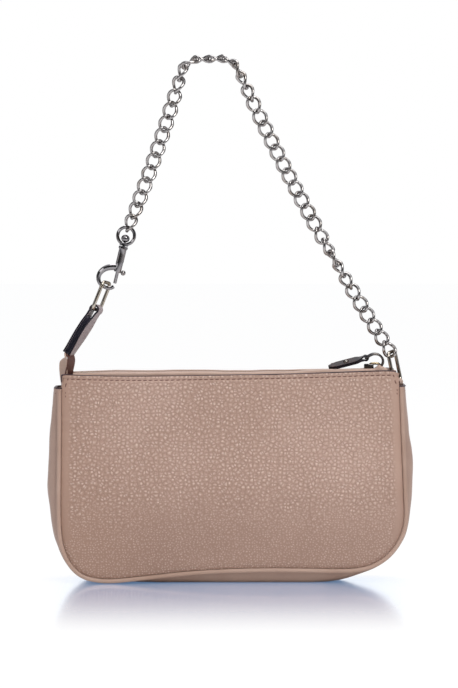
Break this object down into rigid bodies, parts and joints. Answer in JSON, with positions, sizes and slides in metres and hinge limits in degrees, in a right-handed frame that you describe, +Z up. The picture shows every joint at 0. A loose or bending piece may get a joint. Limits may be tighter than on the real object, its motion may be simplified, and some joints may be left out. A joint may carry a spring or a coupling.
{
  "type": "wrist bag",
  "caption": "Small zip-topped leather wrist bag with piped side gussets and a curb-chain strap closed by a swivel bolt snap",
  "frame": {"origin": "middle of the bag's base on the floor", "axes": "+Z up, +X along the bag towards the zip pull as seen from the pebbled back panel, +Y through the depth away from that panel"},
  "size_m": [0.2132, 0.0414, 0.3072],
  "materials": {
    "panel_leather": "pebbled nude leather",
    "smooth_leather": "smooth nude leather",
    "dark_leather": "dark painted edge leather",
    "lining_cloth": "plain woven lining",
    "zip_cloth": "woven zip tape",
    "zip_metal": "pale gold zip metal",
    "chain_metal": "pale gold plating",
    "snap_metal": "pale gold plating",
    "spring_steel": "spring wire"
  },
  "bodies": {
    "bag": {"back_panel": "panel_leather", "front_panel": "panel_leather", "gusset": "smooth_leather", "back_piping": "smooth_leather", "front_piping": "smooth_leather", "lining": "lining_cloth", "back_facing": "smooth_leather", "front_facing": "smooth_leather", "back_zip_tape": "zip_cloth", "front_zip_tape": "zip_cloth", "back_zip_teeth": "zip_metal", "front_zip_teeth": "zip_metal", "zip_stop": "zip_metal", "left_zip_end": "smooth_leather", "right_zip_end": "smooth_leather", "right_loop": "smooth_leather", "left_strap_base": "smooth_leather", "left_strap_tab": "dark_leather"},
    "zip_slider": {"zip_slider": "zip_metal"},
    "pull_ring": {"pull_ring": "zip_metal"},
    "pull_tab": {"pull_tab": "dark_leather", "pull_rivet": "zip_metal"},
    "right_ring": {"right_ring": "chain_metal"},
    "left_ring": {"left_ring": "chain_metal"},
    "snap_hook": {"snap_hook": "snap_metal", "bolt_spring": "spring_steel"},
    "snap_bolt": {"snap_bolt": "snap_metal"},
    "swivel_eye": {"swivel_eye": "snap_metal"},
    "chain_01": {"chain_links_01": "chain_metal"},
    "chain_02": {"chain_links_02": "chain_metal"},
    "chain_03": {"chain_links_03": "chain_metal"},
    "chain_04": {"chain_links_04": "chain_metal"},
    "chain_05": {"chain_links_05": "chain_metal"},
    "chain_06": {"chain_links_06": "chain_metal"},
    "chain_07": {"chain_links_07": "chain_metal"},
    "chain_08": {"chain_links_08": "chain_metal"},
    "chain_09": {"chain_links_09": "chain_metal"},
    "chain_10": {"chain_links_10": "chain_metal"},
    "chain_11": {"chain_links_11": "chain_metal"},
    "chain_12": {"chain_links_12": "chain_metal"},
    "chain_13": {"chain_links_13": "chain_metal"},
    "chain_14": {"chain_links_14": "chain_metal"},
    "chain_15": {"chain_links_15": "chain_metal"},
    "chain_16": {"chain_links_16": "chain_metal"},
    "chain_17": {"chain_links_17": "chain_metal"},
    "chain_18": {"chain_links_18": "chain_metal"},
    "chain_19": {"chain_links_19": "chain_metal"},
    "chain_20": {"chain_links_20": "chain_metal"},
    "chain_21": {"chain_links_21": "chain_metal"}
  },
  "joints": [
    {"name": "zip_slide", "type": "slide", "parent": "bag", "child": "zip_slider", "axis": [1, 0, 0], "range_m": [-0.144, 0], "deforming": ["back_zip_teeth", "front_zip_teeth"]},
    {"name": "pull_lift", "type": "hinge", "parent": "zip_slider", "child": "pull_ring", "pos_m": [0.08535, 0, 0.12455], "axis": [0, 1, 0], "range_deg": [0, 25]},
    {"name": "pull_tab_swing", "type": "hinge", "parent": "pull_ring", "child": "pull_tab", "pos_m": [0.07905, 0, 0.13035], "axis": [0, 1, 0], "range_deg": [0, 45]},
    {"name": "left_ring_swing", "type": "hinge", "parent": "bag", "child": "left_ring", "pos_m": [-0.07867, 0, 0.15864], "axis": [-0.368, -0.9179, 0.1487], "range_deg": [0, 80]},
    {"name": "strap_swing", "type": "hinge", "parent": "left_ring", "child": "snap_hook", "pos_m": [-0.0723, 0, 0.1744], "axis": [0.9699, 0, -0.2434], "range_deg": [-22, 22]},
    {"name": "bolt_draw", "type": "slide", "parent": "snap_hook", "child": "snap_bolt", "axis": [0.2334, 0, 0.9724], "range_m": [0, 0.0034], "stiffness_N_per_m": 150, "springref_m": -0.004, "deforming": ["bolt_spring"]},
    {"name": "eye_swivel", "type": "hinge", "parent": "snap_hook", "child": "swivel_eye", "pos_m": [-0.0625, 0, 0.1956], "axis": [0.2334, 0, 0.9724], "range_deg": [-180, 180]},
    {"name": "right_ring_tilt", "type": "hinge", "parent": "bag", "child": "right_ring", "pos_m": [0.09782, 0, 0.11608], "axis": [0.1665, 0.9854, 0.0348], "range_deg": [-8, 1]},
    {"name": "chain_lift_01", "type": "hinge", "parent": "swivel_eye", "child": "chain_01", "pos_m": [-0.0601, 0, 0.20561], "axis": [0, -1, 0], "range_deg": [0, 20]},
    {"name": "chain_lift_02", "type": "hinge", "parent": "chain_01", "child": "chain_02", "pos_m": [-0.05436, 0, 0.21998], "axis": [0, -1, 0], "range_deg": [0, 20]},
    {"name": "chain_bend_03", "type": "hinge", "parent": "chain_02", "child": "chain_03", "pos_m": [-0.04889, 0, 0.23445], "axis": [0.9401, 0, -0.341], "range_deg": [-30, 30]},
    {"name": "chain_bend_04", "type": "hinge", "parent": "chain_03", "child": "chain_04", "pos_m": [-0.04368, 0, 0.24902], "axis": [-0.9462, 0, 0.3237], "range_deg": [-28, 28]},
    {"name": "chain_bend_05", "type": "hinge", "parent": "chain_04", "child": "chain_05", "pos_m": [-0.03874, 0, 0.26367], "axis": [-0.9518, 0, 0.3066], "range_deg": [-28, 28]},
    {"name": "chain_bend_06", "type": "hinge", "parent": "chain_05", "child": "chain_06", "pos_m": [-0.03407, 0, 0.27842], "axis": [0.9574, 0, -0.2889], "range_deg": [-28, 28]},
    {"name": "chain_bend_07", "type": "hinge", "parent": "chain_06", "child": "chain_07", "pos_m": [-0.02967, 0, 0.29325], "axis": [0.9498, 0, -0.3128], "range_deg": [-28, 28]},
    {"name": "chain_bend_08", "type": "hinge", "parent": "chain_07", "child": "chain_08", "pos_m": [-0.02052, 0, 0.30442], "axis": [-0.0357, 0, 0.9994], "range_deg": [-20, 20]},
    {"name": "chain_bend_09", "type": "hinge", "parent": "chain_08", "child": "chain_09", "pos_m": [-0.00507, 0, 0.30497], "axis": [0.3377, 0, 0.9412], "range_deg": [-20, 20]},
    {"name": "chain_bend_10", "type": "hinge", "parent": "chain_09", "child": "chain_10", "pos_m": [0.00573, 0, 0.29547], "axis": [-0.9105, 0, -0.4136], "range_deg": [-28, 28]},
    {"name": "chain_bend_11", "type": "hinge", "parent": "chain_10", "child": "chain_11", "pos_m": [0.01218, 0, 0.28141], "axis": [-0.9053, 0, -0.4247], "range_deg": [-28, 28]},
    {"name": "chain_bend_12", "type": "hinge", "parent": "chain_11", "child": "chain_12", "pos_m": [0.01879, 0, 0.26742], "axis": [0.9, 0, 0.4359], "range_deg": [-28, 28]},
    {"name": "chain_bend_13", "type": "hinge", "parent": "chain_12", "child": "chain_13", "pos_m": [0.02558, 0, 0.25353], "axis": [0.8944, 0, 0.4473], "range_deg": [-28, 28]},
    {"name": "chain_bend_14", "type": "hinge", "parent": "chain_13", "child": "chain_14", "pos_m": [0.03255, 0, 0.23971], "axis": [-0.8886, 0, -0.4587], "range_deg": [-28, 28]},
    {"name": "chain_bend_15", "type": "hinge", "parent": "chain_14", "child": "chain_15", "pos_m": [0.03968, 0, 0.22599], "axis": [-0.8827, 0, -0.4699], "range_deg": [-28, 28]},
    {"name": "chain_bend_16", "type": "hinge", "parent": "chain_15", "child": "chain_16", "pos_m": [0.04699, 0, 0.21236], "axis": [0.8768, 0, 0.4809], "range_deg": [-28, 28]},
    {"name": "chain_bend_17", "type": "hinge", "parent": "chain_16", "child": "chain_17", "pos_m": [0.05447, 0, 0.19882], "axis": [0.8708, 0, 0.4917], "range_deg": [-28, 28]},
    {"name": "chain_bend_18", "type": "hinge", "parent": "chain_17", "child": "chain_18", "pos_m": [0.06212, 0, 0.18537], "axis": [-0.8647, 0, -0.5024], "range_deg": [-28, 28]},
    {"name": "chain_bend_19", "type": "hinge", "parent": "chain_18", "child": "chain_19", "pos_m": [0.06994, 0, 0.17202], "axis": [-0.8582, 0, -0.5132], "range_deg": [-30, 30]},
    {"name": "chain_twist_20", "type": "hinge", "parent": "chain_19", "child": "chain_20", "pos_m": [0.07792, 0, 0.15877], "axis": [0.532, 0, -0.8468], "range_deg": [-6, 15]},
    {"name": "chain_bend_21", "type": "hinge", "parent": "chain_20", "child": "chain_21", "pos_m": [0.08607, 0, 0.14563], "axis": [0, 1, 0], "range_deg": [-3, 12]}
  ],
  "couplings": [
    {"joint": "chain_bend_21", "follows": "right_ring_tilt", "ratio": -1.3}
  ]
}
